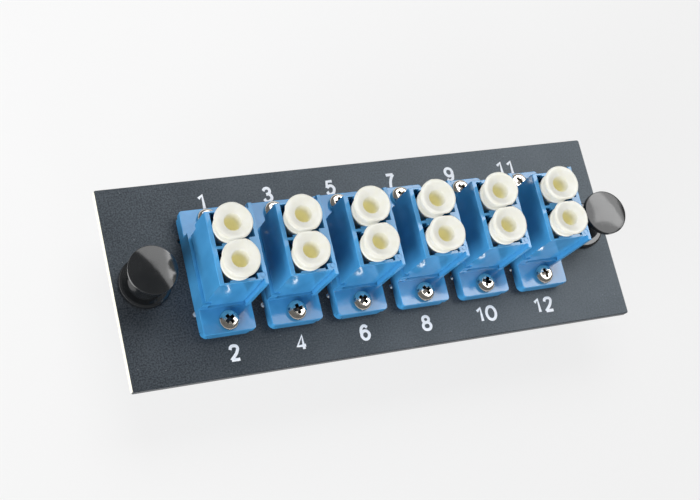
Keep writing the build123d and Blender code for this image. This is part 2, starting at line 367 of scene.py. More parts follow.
@dataclass(frozen=True)
class NickelPlate:
    """Bright nickel plate, slightly warm, with drawn micro-scratches, and painted shade darkening the
    screws' recesses.
    """

    colour: Colour = (0.80, 0.765, 0.70)
    worn: Colour = (0.66, 0.60, 0.52)
    # Painted shade colour for the screws' recesses; the noise of the same name gives real grime and
    # wear.
    grime: Colour = (0.05, 0.045, 0.04)
    roughness: float = 0.14

    def material(self) -> bpy.types.Material:
        """Build the material."""
        graph = Graph("nickel_plate")
        grime = graph.noise(0.5 * MM, 4.0, 0.6)
        scratch = graph.noise(0.12 * MM, 2.0, 0.6, (1.0, 6.0, 1.0))
        bright = graph.mix(grime.smooth(0.45, 0.75), self.colour, self.worn)
        graph.principled(
            # Painted shade: the screws' recesses darken with depth.
            Base_Color=graph.mix(graph.attribute("sunk").smooth(0.1, 0.9), bright, self.grime),
            Metallic=1.0,
            Roughness=grime * 0.12 + scratch.smooth(0.5, 0.8) * 0.10 + self.roughness - 0.06,
            Normal=graph.bump(grime * 0.6 + scratch * 0.4, 0.006 * MM, 0.6),
        )
        return graph.material


@dataclass(frozen=True)
class Ceramic:
    """Polished white ceramic of the alignment sleeves."""

    colour: Colour = (0.86, 0.85, 0.81)
    shade: Colour = (0.78, 0.77, 0.72)

    def material(self) -> bpy.types.Material:
        """Build the material."""
        graph = Graph("ceramic")
        cloud = graph.noise(0.6 * MM, 3.0, 0.5)
        graph.principled(
            Base_Color=graph.mix(cloud, self.colour, self.shade),
            Roughness=cloud * 0.08 + 0.08,
            Normal=graph.bump(cloud, 0.002 * MM, 0.5),
        )
        return graph.material


@dataclass(frozen=True)
class PrintInk:
    """Matt white printing ink, a little thin in places."""

    colour: Colour = (0.80, 0.82, 0.86)
    thin: Colour = (0.62, 0.65, 0.70)

    def material(self) -> bpy.types.Material:
        """Build the material."""
        graph = Graph("print_ink")
        patch = graph.noise(0.3 * MM, 3.0, 0.6)
        graph.principled(
            Base_Color=graph.mix(patch.smooth(0.55, 0.8), self.colour, self.thin),
            Roughness=patch * 0.2 + 0.4,
            Normal=graph.bump(patch, 0.01 * MM, 0.5),
        )
        return graph.material


class Finish(Enum):
    """The finishes that the panel's pieces take."""

    POWDER_COAT = ("powder_coated_steel", PowderCoat())
    BLUE_PLASTIC = (
        "blue_plastic",
        MouldedPlastic("blue_plastic", (0.044, 0.235, 0.485), (0.056, 0.275, 0.555)),
    )
    BLACK_NYLON = (
        "black_nylon",
        MouldedPlastic("black_nylon", (0.007, 0.008, 0.009), (0.011, 0.012, 0.013), roughness=0.12),
    )
    CAP_PLASTIC = ("cap_polyethylene", CapPlastic())
    NICKEL = ("nickel_steel", NickelPlate())
    CERAMIC = ("zirconia", Ceramic())
    INK = ("powder_coated_steel", PrintInk())

    def __init__(self, slot: str, recipe: Any) -> None:
        """Keep the record's material slot and the recipe that builds the material."""
        self.slot = slot
        self.recipe = recipe

    def material(self) -> bpy.types.Material:
        """The finish's material, built once."""
        if self not in _MATERIALS:
            _MATERIALS[self] = self.recipe.material()
        return _MATERIALS[self]

    def dress(self, piece: bpy.types.Object) -> None:
        """Give a piece this finish alone."""
        piece.data.materials.clear()
        piece.data.materials.append(self.material())


_MATERIALS: dict[Finish, bpy.types.Material] = {}


# ---- mesh tools ----


def link(name: str, data: bpy.types.ID) -> bpy.types.Object:
    """Make an object from its data and put it in the scene."""
    made = bpy.data.objects.new(name, data)
    bpy.context.scene.collection.objects.link(made)
    return made


class Mould:
    """A mesh under construction, with the few operations that the pieces share."""

    def __init__(self, name: str) -> None:
        """Start an empty mesh under the piece's name."""
        self.name = name
        self.mesh = bmesh.new()

    @classmethod
    def from_node(cls, name: str, node: str) -> "Mould":
        """Start from a clean copy of a CAD node.

        Args:
            name: The piece's name.
            node: The CAD node.

        Returns:
            The new mesh.
        """
        mould = cls(name)
        mould.mesh.from_mesh(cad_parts[node].data)
        mould.clean()
        return mould

    def clean(self) -> None:
        """Merge vertices in one place and join the faces of each flat area."""
        verts, edges = self.mesh.verts, self.mesh.edges
        bmesh.ops.remove_doubles(self.mesh, verts=verts, dist=MERGE)
        limit = math.radians(FLAT_ANGLE)
        bmesh.ops.dissolve_limit(self.mesh, angle_limit=limit, verts=verts, edges=edges)

    def soften(
        self, radius: float, segments: int, min_angle: float = 55.0, min_length: float = 0.3 * MM
    ) -> None:
        """Round the sharp edges.

        Args:
            radius: Width of the rounding, in metres.
            segments: Faces across it.
            min_angle: Edges that turn by less, in degrees, stay.
            min_length: Shorter edges stay.
        """
        sharp = [
            e
            for e in self.mesh.edges
            if e.is_manifold
            and e.calc_face_angle() > math.radians(min_angle)
            and e.calc_length() > min_length
        ]
        bmesh.ops.bevel(
            self.mesh,
            geom=sharp,
            offset=radius,
            offset_type="OFFSET",
            segments=segments,
            profile=0.5,
            material=-1,
            affect="EDGES",
            clamp_overlap=True,
        )

    def lathe(self, profile: Sequence[Point2], steps: int) -> None:
        """Spin a profile round the Z axis into a closed shape.

        Args:
            profile: Points of radius and height, the first and last on the axis.
            steps: Faces around.
        """
        verts = [self.mesh.verts.new((r, 0, z)) for r, z in profile]
        edges = [self.mesh.edges.new(pair) for pair in zip(verts, verts[1:])]
        bmesh.ops.spin(
            self.mesh,
            geom=[*verts, *edges],
            cent=(0, 0, 0),
            axis=(0, 0, 1),
            angle=2 * math.pi,
            steps=steps,
            use_merge=True,
            use_duplicate=False,
        )
        bmesh.ops.remove_doubles(self.mesh, verts=self.mesh.verts, dist=MERGE)
        bmesh.ops.recalc_face_normals(self.mesh, faces=self.mesh.faces)

    def box(self, low: Sequence[float], high: Sequence[float]) -> None:
        """Add a box between two corners."""
        low, high = Vector(low), Vector(high)
        matrix = Matrix.Translation((low + high) / 2) @ Matrix.Diagonal((*(high - low), 1))
        bmesh.ops.create_cube(self.mesh, size=1, matrix=matrix)

    def combine(self, operation: str, tool: "Mould") -> None:
        """Add another mesh's volume to this one, or take it away.

        Args:
            operation: UNION or DIFFERENCE.
            tool: The other mesh, used up.
        """
        holders = []
        for mould in (self, tool):
            data = bpy.data.meshes.new(mould.name)
            mould.mesh.to_mesh(data)
            mould.mesh.free()
            holders.append(link(mould.name, data))
        change = holders[0].modifiers.new(operation, "BOOLEAN")
        change.operation = operation
        change.solver = "EXACT"
        change.object = holders[1]
        bpy.context.view_layer.update()
        graph = bpy.context.evaluated_depsgraph_get()
        result = bpy.data.meshes.new_from_object(holders[0].evaluated_get(graph))
        self.mesh = bmesh.new()
        self.mesh.from_mesh(result)
        for holder in holders:
            bpy.data.objects.remove(holder)

    def block(self, operation: str, low: Sequence[float], high: Sequence[float]) -> None:
        """Add a box to the volume, or take one away.

        Args:
            operation: UNION or DIFFERENCE.
            low: The box's lower corner, in metres.
            high: Its upper corner.
        """
        tool = Mould(self.name)
        tool.box(low, high)
        self.combine(operation, tool)

    def move(self, place: Vector, turn: float = 0.0, flip: bool = False) -> None:
        """Put the mesh in its place.

        Args:
            place: Where its origin goes.
            turn: Turn about Z first, in radians.
            flip: Turn it over about X, so that its top points down.
        """
        matrix = Matrix.Translation(place)
        if flip:
            matrix = matrix @ Matrix.Rotation(math.pi, 4, "X")
        matrix = matrix @ Matrix.Rotation(turn, 4, "Z")
        bmesh.ops.transform(self.mesh, matrix=matrix, verts=self.mesh.verts)

    def piece(self, smooth_angle: float = 40.0, flat: bool = False) -> bpy.types.Object:
        """Finish the mesh as an object, smooth except across edges sharper than an angle.

        Args:
            smooth_angle: The angle, in degrees.
            flat: True to let large faces keep their own normals.

        Returns:
            The object, at the origin.
        """
        for face in self.mesh.faces:
            face.smooth = True
        limit = math.radians(smooth_angle)
        for edge in self.mesh.edges:
            edge.smooth = edge.is_manifold and edge.calc_face_angle() < limit
        data = bpy.data.meshes.new(self.name)
        self.mesh.to_mesh(data)
        self.mesh.free()
        made = link(self.name, data)
        if flat:
            made.modifiers.new("flat faces", "WEIGHTED_NORMAL").keep_sharp = True
        return made


def arcs(points: Sequence[Point3], steps: int = 5) -> list[Point2]:
    """Round the corners of an outline.

    Args:
        points: Radius and height of each corner, with the length that its rounding takes of each side.
        steps: Segments in each rounding.

    Returns:
        The outline's points.
    """
    corners = [Vector(p[:2]) for p in points]
    outline: list[Point2] = []
    for i, (corner, (_, _, cut)) in enumerate(zip(corners, points)):
        if cut == 0 or i in (0, len(points) - 1):
            outline.append(tuple(corner))
            continue
        start = corner + (corners[i - 1] - corner).normalized() * cut
        end = corner + (corners[i + 1] - corner).normalized() * cut
        for k in range(steps + 1):
            t = k / steps
            outline.append(tuple((1 - t) ** 2 * start + 2 * t * (1 - t) * corner + t**2 * end))
    return outline


def middle(node: str) -> Vector:
    """Middle of a CAD node's box."""
    low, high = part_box(node)
    return (low + high) / 2


def commit(piece: bpy.types.Object, body: str, finish: Finish, *nodes: str) -> bpy.types.Object:
    """Dress a piece, tie it to its body and let it stand for its CAD nodes.

    Args:
        piece: The finished object.
        body: The CAD body that it moves with.
        finish: Its finish.
        nodes: CAD nodes that it replaces.

    Returns:
        The piece.
    """
    finish.dress(piece)
    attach(piece, body)
    if nodes:
        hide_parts(*nodes)
    LOG.info("%s: %d faces on %s", piece.name, len(piece.data.polygons), body)
    return piece


# ---- the pieces ----


class Side(Enum):
    """The two sides of the plate."""

    FRONT = 1
    REAR = -1

    @property
    def word(self) -> str:
        """The word used in the names of nodes and bodies."""
        return self.name.lower()


@dataclass
class Plate:
    """The steel plate and the numbers printed on it."""

    ink: float = 0.02 * MM
    stroke: float = 0.54 * MM
    digit_h: float = 2.42 * MM
    digit_w: float = 1.48 * MM
    digit_gap: float = 0.68 * MM
    upper_row: float = 13.44 * MM
    lower_row: float = -13.6 * MM
    pitch: float = 11.93 * MM
    shift: float = 0.5 * MM

    # Strokes of each digit on a grid 2 wide and 4 high: a line, a round curve or a closed loop.
    GLYPHS = {
        "0": [("loop", (1, 4), (1.93, 3.3), (1.93, 0.7), (1, 0), (0.07, 0.7), (0.07, 3.3))],
        "1": [("line", (0.25, 3.1), (1.25, 4.0), (1.25, 0))],
        "2": [
            ("round", (0.1, 2.95), (0.35, 3.75), (1.05, 4.0), (1.8, 3.6), (1.75, 2.55), (0.0, 0.0)),
            ("line", (0.0, 0), (2, 0)),
        ],
        "3": [
            ("round", (0.15, 3.3), (0.6, 3.93), (1.5, 3.85), (1.7, 2.9), (1.25, 2.25), (0.75, 2.15)),
            ("round", (0.75, 2.15), (1.5, 2.05), (1.95, 1.2), (1.45, 0.15), (0.5, 0.05), (0.05, 0.85)),
        ],
        "4": [("line", (1.5, 0), (1.5, 4), (0, 1.05), (2.05, 1.05))],
        "5": [
            ("line", (1.8, 4), (0.45, 4), (0.2, 2.05)),
            (
                "round",
                (0.2, 2.05),
                (0.85, 2.6),
                (1.75, 2.25),
                (1.85, 0.95),
                (1.15, 0.02),
                (0.35, 0.15),
                (0.05, 0.9),
            ),
        ],
        "6": [
            ("round", (1.8, 3.4), (1.3, 3.98), (0.6, 3.8), (0.12, 2.7), (0.1, 1.3)),
            ("loop", (1.0, 2.5), (1.82, 2.0), (1.88, 0.8), (1.05, 0.0), (0.22, 0.6), (0.15, 1.8)),
        ],
        "7": [("line", (0.05, 4), (1.95, 4)), ("round", (1.95, 4), (1.3, 2.9), (0.85, 1.5), (0.7, 0))],
        "8": [
            ("loop", (1.0, 4.0), (1.68, 3.55), (1.62, 2.55), (1.0, 2.2), (0.38, 2.55), (0.32, 3.55)),
            ("loop", (1.0, 2.2), (1.85, 1.7), (1.85, 0.5), (1.0, 0.0), (0.15, 0.5), (0.15, 1.7)),
        ],
        "9": [
            ("round", (0.2, 0.6), (0.7, 0.02), (1.4, 0.2), (1.88, 1.3), (1.9, 2.7)),
            ("loop", (1.0, 1.5), (1.78, 2.0), (1.85, 3.2), (0.95, 4.0), (0.12, 3.4), (0.18, 2.2)),
        ],
    }

    def build(self) -> None:
        """Finish the plate and print the numbers."""
        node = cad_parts["panel_plate"]
        Finish.POWDER_COAT.dress(node)
        LOG.info("panel_plate: CAD mesh, powder coat")
        for number in range(1, 2 * ADAPTERS + 1):
            self.number(number)

    def number(self, number: int) -> None:
        """Print one port number: odd ones on the upper edge, even ones on the lower edge."""
        column = (number + 1) // 2 - (ADAPTERS + 1) / 2
        row = self.upper_row if number % 2 else self.lower_row
        text = str(number)
        advance = self.digit_w + self.digit_gap
        left = self.shift + column * self.pitch - (advance * len(text) - self.digit_gap) / 2
        low = row - self.digit_h / 2
        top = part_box("panel_plate")[1].z
        strokes = []
        for k, character in enumerate(text):
            start = left + k * advance
            for kind, *points in self.GLYPHS[character]:
                scaled = [(start + x / 2 * self.digit_w, low + y / 4 * self.digit_h) for x, y in points]
                strokes.append((kind, scaled))
        piece = self.print_strokes(f"port_number_{number:02d}", strokes, top)
        commit(piece, PLATE_BODY, Finish.INK)

    def print_strokes(
        self, name: str, strokes: Sequence[tuple[str, Sequence[Point2]]], top: float
    ) -> bpy.types.Object:
        """Draw strokes as a thin raised print.

        Args:
            name: The piece's name.
            strokes: Kind and points of each stroke.
            top: Height of the surface.

        Returns:
            The print as a mesh.
        """
        curve = bpy.data.curves.new(name, "CURVE")
        curve.dimensions = "3D"
        curve.bevel_depth = self.stroke / 2
        curve.bevel_resolution = 2
        curve.resolution_u = 6
        curve.render_resolution_u = 6
        curve.use_fill_caps = True
        for kind, points in strokes:
            spline = curve.splines.new("POLY" if kind == "line" else "BEZIER")
            if kind == "line":
                spline.points.add(len(points) - 1)
                for point, (x, y) in zip(spline.points, points):
                    point.co = (x, y, 0, 1)
            else:
                spline.bezier_points.add(len(points) - 1)
                for point, (x, y) in zip(spline.bezier_points, points):
                    point.co = (x, y, 0)
                    point.handle_left_type = point.handle_right_type = "AUTO"
                spline.use_cyclic_u = kind == "loop"
        holder = link(name + "_curve", curve)
        graph = bpy.context.evaluated_depsgraph_get()
        data = bpy.data.meshes.new_from_object(holder.evaluated_get(graph))
        bpy.data.objects.remove(holder)
        mould = Mould(name)
        mould.mesh.from_mesh(data)
        flatten = Matrix.Diagonal((1, 1, 2 * self.ink / self.stroke, 1))
        place = Matrix.Translation((0, 0, top)) @ flatten
        bmesh.ops.transform(mould.mesh, matrix=place, verts=mould.mesh.verts)
        return mould.piece(60)


@dataclass
class Adapter:
    """One duplex adapter: two moulded housings and its sleeves."""

    index: int
    edge: float = 0.09 * MM
    edge_faces: int = 2
    body_left: float = 4.2 * MM
    body_right: float = 4.0 * MM
    body_half: float = 6.25 * MM
    ledge_h: float = 2.48 * MM
    post_w: float = 1.45 * MM
    post_t: float = 0.14 * MM
    lip_h: float = 0.45 * MM
    lip_t: float = 0.34 * MM
    groove_h: float = 0.7 * MM
    groove_d: float = 0.22 * MM
    notch_h: float = 3.95 * MM
    notch_d: float = 0.75 * MM
    notch_w: float = 0.8 * MM
    lip_groove_h: float = 0.4 * MM
    overlap: float = 0.3 * MM
    clear: float = 0.5 * MM
    ring_r: float = 0.46 * MM
    ring_w: float = 0.1 * MM
    ring_d: float = 0.07 * MM
    ring_in: Point2 = (0.78 * MM, 0.86 * MM)
    # A plug in the plate's corner relief, standing in for the shade behind it.
    pip_r: float = 0.47 * MM
    pip_h: float = 0.3 * MM
    pip_foot: float = 1.45 * MM
    cut_corner: Point2 = (-4.55 * MM, 6.5 * MM)

    def build(self) -> None:
        """Make both housings from the CAD ones, with softened edges, and finish the sleeves."""
        for side in Side:
            node = f"{side.word}_housing_{self.index}"
            mould = Mould.from_node(f"{side.word}_shell_{self.index}", node)
            if side is Side.FRONT:
                self.foot(mould, node)
                self.pin_mark(mould, node)
            else:
                self.pip(mould, node)
            mould.soften(self.edge, self.edge_faces)
            commit(mould.piece(50, True), PLATE_BODY, Finish.BLUE_PLASTIC, node)
        Finish.CERAMIC.dress(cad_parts[f"split_sleeves_{self.index}"])

    def foot(self, mould: Mould, node: str) -> None:
        """Work the ledge, corner post, lip and grooves round the foot of the front body.

        Args:
            mould: The front housing's mesh.
            node: Its CAD node.
        """
        low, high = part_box(node)
        centre = middle(node)
        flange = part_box("flange_screws")[1].z - FlangeScrews.head_h
        ledge = flange + self.ledge_h
        left = centre.x - self.body_left
        below, above = centre.y - self.body_half, centre.y + self.body_half
        lap, out = self.overlap, self.clear
        sunk = flange - lap
        post = low.x + self.post_w
        lip = flange + self.lip_h
        added = [
            ((low.x, below, sunk), (left + lap, above, ledge)),
            ((low.x, below - self.post_t, sunk), (post, below + lap, ledge)),
            ((post - lap, below - self.lip_t, sunk), (high.x - lap, below + lap, lip)),
        ]
        side, front, back = left - out, below - out, above + out
        groove_y, groove_top = below + self.groove_d, ledge + self.groove_h
        notch = (left + self.notch_w, back, ledge + self.notch_h)
        cut = [
            ((side, front, ledge), (left + self.groove_d, back, groove_top)),
            ((side, above - self.notch_d, ledge), notch),
            ((post, front, lip), (high.x - 2 * lap, groove_y, lip + self.lip_groove_h)),
            ((side, front, ledge), (post, groove_y, groove_top + lap)),
        ]
        for operation, blocks in (("UNION", added), ("DIFFERENCE", cut)):
            for corners in blocks:
                mould.block(operation, *corners)
        mould.clean()

    def pin_mark(self, mould: Mould, node: str) -> None:
        """Sink the ring that an ejector pin leaves in the mouth's lower right corner.

        Args:
            mould: The front housing's mesh.
            node: Its CAD node.
        """
        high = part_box(node)[1]
        centre = middle(node)
        right, below = centre.x + self.body_right, centre.y - self.body_half
        place = Vector((right - self.ring_in[0], below + self.ring_in[1], high.z))
        groove = (self.ring_r, -self.ring_d, self.ring_d)
        island = (self.ring_r - self.ring_w, -2 * self.ring_d, 0)
        for operation, (radius, low, top) in (("DIFFERENCE", groove), ("UNION", island)):
            disc = Mould("disc")
            disc.lathe([(0, low), (radius, low), (radius, top), (0, top)], 24)
            disc.move(place)
            mould.combine(operation, disc)

    def pip(self, mould: Mould, node: str) -> None:
        """Fill the relief at the upper left corner of the plate's cut-out with a plug, a dark stand-in
        for the shade seen through the relief.

        Args:
            mould: The rear housing's mesh.
            node: Its CAD node.
        """
        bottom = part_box("panel_plate")[1].z - self.pip_foot
        centre = middle(node)
        disc = Mould("pip")
        disc.lathe([(0, 0), (self.pip_r, 0), (self.pip_r, self.pip_h), (0, self.pip_h)], 24)
        disc.move(Vector((centre.x + self.cut_corner[0], centre.y + self.cut_corner[1], bottom)))
        mould.combine("UNION", disc)


@dataclass
class DustCap:
    """One dust cap: a stem in the port, a collar on the mouth and a flared, slightly ragged rim."""

    side: Side
    number: int
    steps: int = 56
    seat_gap: float = 0.05 * MM
    collar_t: float = 0.5 * MM
    rim_t: float = 0.42 * MM
    hole_r: float = 1.02 * MM
    lip_r: float = 1.46 * MM
    hole_l: float = 6.5 * MM
    stem_r: float = 2.45 * MM
    collar_r: float = 2.78 * MM
    socket_r: float = 1.6 * MM
    socket_l: float = 2.0 * MM
    wide_r: float = 3.36 * MM
    flat_r: float = 3.07 * MM
    edge_from: float = 0.75
    ragged: float = 0.075
    inset: float = 0.55
    wave_share: float = 0.4
    nub_share: float = 0.5
    nub_w: float = 0.07
    beats: tuple[int, ...] = (1, 2, 3, 5, 8, 13)
    lean: float = 0.04
    droop: Point2 = (0.02, 0.035)

    def build(self) -> None:
        """Make the cap and put it in its port."""
        node = f"{self.side.word}_cap_{self.number:02d}"
        low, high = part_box(node)
        radius = (high.x - low.x) / 2
        mouth = self.mouth_height()
        tip, top = (low.z, high.z) if self.side is Side.FRONT else (high.z, low.z)
        length, height = abs(tip - mouth), abs(top - mouth)
        mould = Mould(f"dust_{node}")
        mould.lathe(self.profile(radius, height, length), self.steps)
        self.store_place(mould)
        turn = random.Random(f"turn {node}").uniform(0, 2 * math.pi)
        self.deform(mould, radius, height, turn)
        centre = (low + high) / 2
        mould.move(Vector((centre.x, centre.y, mouth)), turn, self.side is Side.REAR)
        commit(mould.piece(50), node, Finish.CAP_PLASTIC, node)

    def mouth_height(self) -> float:
        """Height of the adapter's mouth on this side."""
        low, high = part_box(f"{self.side.word}_housing_{(self.number + 1) // 2}")
        return high.z if self.side is Side.FRONT else low.z

    def profile(self, radius: float, height: float, length: float) -> list[Point2]:
        """Outline of the cap, from the web inside its stem round to the bottom of its hole.

        Args:
            radius: Radius of the rim.
            height: Height of the rim's face above the mouth.
            length: Length of the stem below the mouth.

        Returns:
            Points of radius and height.
        """
        web = -length + self.socket_l
        rim_low = height - self.rim_t
        return arcs(
            [
                (0, web, 0),
                (self.socket_r, web, 0.15 * MM),
                (self.socket_r, -length, 0.1 * MM),
                (self.stem_r, -length, 0.3 * MM),
                (self.stem_r, self.seat_gap, 0),
                (self.collar_r, self.seat_gap, 0.1 * MM),
                (self.collar_r, self.seat_gap + self.collar_t, 0.15 * MM),
                (2.42 * MM, self.seat_gap + self.collar_t + 0.25 * MM, 0.1 * MM),
                (2.46 * MM, rim_low - 0.75 * MM, 0.35 * MM),
                (radius - 0.12 * MM, rim_low, 0.16 * MM),
                (radius, rim_low + 0.1 * MM, 0.05 * MM),
                (radius, height - 0.16 * MM, 0.1 * MM),
                (radius - 0.18 * MM, height - 0.02 * MM, 0.08 * MM),
                (radius - 0.42 * MM, height - 0.06 * MM, 0.12 * MM),
                (1.9 * MM, height - 0.42 * MM, 0.3 * MM),
                (self.lip_r, height - 0.62 * MM, 0.08 * MM),
                (self.lip_r - 0.03 * MM, height - 2.0 * MM, 0.3 * MM),
                (self.lip_r - 0.1 * MM, -1.2 * MM, 0.3 * MM),
                (self.hole_r, -2.2 * MM, 0.3 * MM),
                (self.hole_r, -self.hole_l, 0.3 * MM),
                (0, -self.hole_l, 0),
            ]
        )

    @staticmethod
    def store_place(mould: Mould) -> None:
        """Keep each vertex's distance from the axis and height, in millimetres, for the finish."""
        layers = mould.mesh.verts.layers.float
        distance = layers.new("axis_distance")
        height = layers.new("height")
        for vert in mould.mesh.verts:
            vert[distance] = vert.co.xy.length / MM
            vert[height] = vert.co.z / MM

    def deform(self, mould: Mould, radius: float, height: float, turn: float) -> None:
        """Make the head uneven: flat against its neighbour, a ragged rim with a nub, a slight lean.

        Args:
            mould: The cap's mesh.
            radius: Radius of the rim.
            height: Height of the rim's face above the mouth.
            turn: Turn that the cap gets later, in radians.
        """
        beside = -math.pi / 2 if self.number % 2 else math.pi / 2
        towards = beside * self.side.value - turn
        lot = random.Random(f"cap {self.side.word} {self.number}")
        waves = [(n, lot.uniform(0, 2 * math.pi), lot.uniform(0.2, 1) / n) for n in self.beats]
        nub = lot.uniform(0, 2 * math.pi)
        lean = Vector((lot.uniform(-1, 1), lot.uniform(-1, 1))) * self.lean
        lean += Matrix.Rotation(-turn, 2) @ Vector(self.droop)
        for vert in mould.mesh.verts:
            rise = max(vert.co.z, 0) / height
            reach = vert.co.xy.length
            if rise == 0 or reach == 0:
                continue
            angle = math.atan2(vert.co.y, vert.co.x)
            wave = sum(size * math.sin(n * angle + phase) for n, phase, size in waves)
            away = (angle - nub + math.pi) % (2 * math.pi) - math.pi
            flash = math.exp(-((away / self.nub_w) ** 2))
            edge = max(0.0, (reach / radius - self.edge_from) / (1 - self.edge_from)) * rise**2
            facing = max(math.cos(angle - towards), self.flat_r / self.wide_r)
            spread = self.flat_r / facing / radius - 1
            rough = self.inset + self.wave_share * wave - self.nub_share * flash
            vert.co.xy *= 1 + edge * (spread - self.ragged * rough)
            vert.co.z -= edge * self.ragged * MM * (1 + wave)
            vert.co.xy += lean * max(vert.co.z, 0)


@dataclass
class FlangeScrews:
    """The pan-head screws that hold the adapters, each turned by its own amount."""

    head_r: float = 1.75 * MM
    head_h: float = 1.25 * MM
    shank_r: float = 0.97 * MM
    lift: float = HAIR
    cross_l: float = 2.55 * MM
    cross_w: float = 0.72 * MM
    cross_d: float = 0.85 * MM
    cross_taper: Point2 = (0.42, 0.8)
    recess: float = 0.7
    bulge: float = 0.06
    # Depth over which the recess's painted shade reaches full dark.
    dark_depth: float = 0.4 * MM
    edge: float = 0.05 * MM
    steps: int = 40

    def build(self) -> None:
        """Make one screw, set it into every hole and finish the set."""
        low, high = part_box("flange_screws")
        centre = middle("flange_screws")
        columns = [middle(f"front_housing_{i}").x for i in range(1, ADAPTERS + 1)]
        reach = (high.y - low.y) / 2 - self.head_r
        seat = high.z - self.head_h
        one = self.screw(low.z - seat)
        mesh = bpy.data.meshes.new("one_screw")
        one.mesh.to_mesh(mesh)
        one.mesh.free()
        lot = random.Random("screws")
        mould = Mould("pan_head_screws")
        for x in columns:
            for side in (-1, 1):
                copy = Mould("screw")
                copy.mesh.from_mesh(mesh)
                place = Vector((x, centre.y + side * reach, seat))
                copy.move(place, lot.uniform(0, math.pi / 2))
                data = bpy.data.meshes.new("screw")
                copy.mesh.to_mesh(data)
                copy.mesh.free()
                mould.mesh.from_mesh(data)
        self.store_depth(mould, columns, centre.y, reach, seat)
        commit(mould.piece(35), PLATE_BODY, Finish.NICKEL, "flange_screws")

    def store_depth(
        self, mould: Mould, columns: Sequence[float], row: float, reach: float, seat: float
    ) -> None:
        """Keep how deep each vertex lies in its screw's recess, from 0 to 1, for the finish's painted
        shade.

        Args:
            mould: The screws' mesh.
            columns: The screws' places along X.
            row: The middle between the two rows.
            reach: Distance of a row from it.
            seat: Height of the screws' seats.
        """
        sunk = mould.mesh.verts.layers.float.new("sunk")
        for vert in mould.mesh.verts:
            across = min((vert.co.x - x for x in columns), key=abs)
            along = abs(vert.co.y - row) - reach
            radius = math.hypot(across, along)
            surface = seat + self.head_h * (1 - self.bulge * (radius / self.head_r) ** 2)
            depth = (surface - vert.co.z) / self.dark_depth
            vert[sunk] = min(max(depth, 0.0), 1.0) if radius < self.recess * self.head_r else 0.0

    def screw(self, bottom: float) -> Mould:
        """One screw, standing on the plane of its seat.

        Args:
            bottom: Height of its end.

        Returns:
            The screw.
        """
        profile = arcs(
            [
                (0, bottom, 0),
                (self.shank_r, bottom, 0.15 * MM),
                (self.shank_r, self.lift, 0),
                (self.head_r - 0.06 * MM, self.lift, 0.05 * MM),
                (self.head_r, 0.2 * MM, 0.1 * MM),
                (self.head_r - 0.04 * MM, 0.62 * self.head_h, 0.2 * MM),
                (0.72 * self.head_r, 0.95 * self.head_h, 0.3 * MM),
                (0.3 * self.head_r, self.head_h, 0.2 * MM),
                (0, self.head_h, 0),
            ],
            4,
        )
        screw = Mould("one_screw")
        screw.lathe(profile, self.steps)
        for turn in (0, math.pi / 2):
            arm = Mould("arm")
            half = Vector((self.cross_l / 2, self.cross_w / 2))
            arm.box(
                (-half.x, -half.y, self.head_h - self.cross_d),
                (half.x, half.y, self.head_h + self.cross_d),
            )
            for vert in arm.mesh.verts:
                if vert.co.z < self.head_h:
                    vert.co.x *= self.cross_taper[0]
                    vert.co.y *= self.cross_taper[1]
            arm.move(Vector((0, 0, 0)), turn)
            screw.combine("DIFFERENCE", arm)
        screw.soften(self.edge, 2, 45, 0.1 * MM)
        return screw


@dataclass
class Latch:
    """One push-pull latch: a grommet in the plate and a plunger with a mushroom knob."""

    where: str
    lean: Point2
    steps: int = 72
    knob_r: float = 4.13 * MM
    stem_r: float = 2.05 * MM
    stop_r: float = 2.5 * MM
    stop_t: float = 0.56 * MM
    base_r: float = 3.3 * MM
    neck_r: float = 2.3 * MM
    dome_h: float = 0.55 * MM
    rim_t: float = 1.15 * MM

    def build(self) -> None:
        """Make the plunger and finish the grommet."""
        self.plunger()
        node = f"grommet_{self.where}"
        mould = Mould.from_node(f"split_{node}", node)
        commit(mould.piece(35), PLATE_BODY, Finish.BLACK_NYLON, node)

    def plunger(self) -> None:
        """Knob, neck and stem as one smooth turned shape."""
        node = f"plunger_{self.where}"
        low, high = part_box(node)
        centre = (low + high) / 2
        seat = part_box(f"grommet_{self.where}")[1].z + HAIR
        bottom = low.z - seat
        top = high.z - seat
        radius = self.knob_r
        rim_top = top - self.dome_h
        rim_low = rim_top - self.rim_t
        profile = arcs(
            [
                (0, bottom, 0),
                (self.stop_r, bottom, 0.2 * MM),
                (self.stop_r, bottom + self.stop_t, 0.08 * MM),
                (self.stem_r, bottom + self.stop_t, 0.05 * MM),
                (self.stem_r, 0, 0),
                (self.base_r, 0, 0.12 * MM),
                (self.base_r, 0.7 * MM, 0.3 * MM),
                (self.neck_r + 0.1 * MM, 0.42 * rim_low, 1.3 * MM),
                (self.neck_r + 0.15 * MM, 0.68 * rim_low, 0.9 * MM),
                (radius - 0.25 * MM, rim_low, 0.2 * MM),
                (radius, rim_low + 0.2 * MM, 0.1 * MM),
                (radius, rim_top - 0.03 * MM, 0.13 * MM),
                (0.62 * radius, rim_top + 0.63 * self.dome_h, 0.3 * radius),
                (0.25 * radius, top - 0.02 * MM, 0.2 * radius),
                (0, top, 0),
            ],
            8,
        )
        mould = Mould(f"knob_{self.where}")
        mould.lathe(profile, self.steps)
        for vert in mould.mesh.verts:
            vert.co.xy += Vector(self.lean) * max(vert.co.z, 0) / top
        mould.move(Vector((centre.x, centre.y, seat)))
        commit(mould.piece(50), node, Finish.BLACK_NYLON, node)


# ---- the studio ----


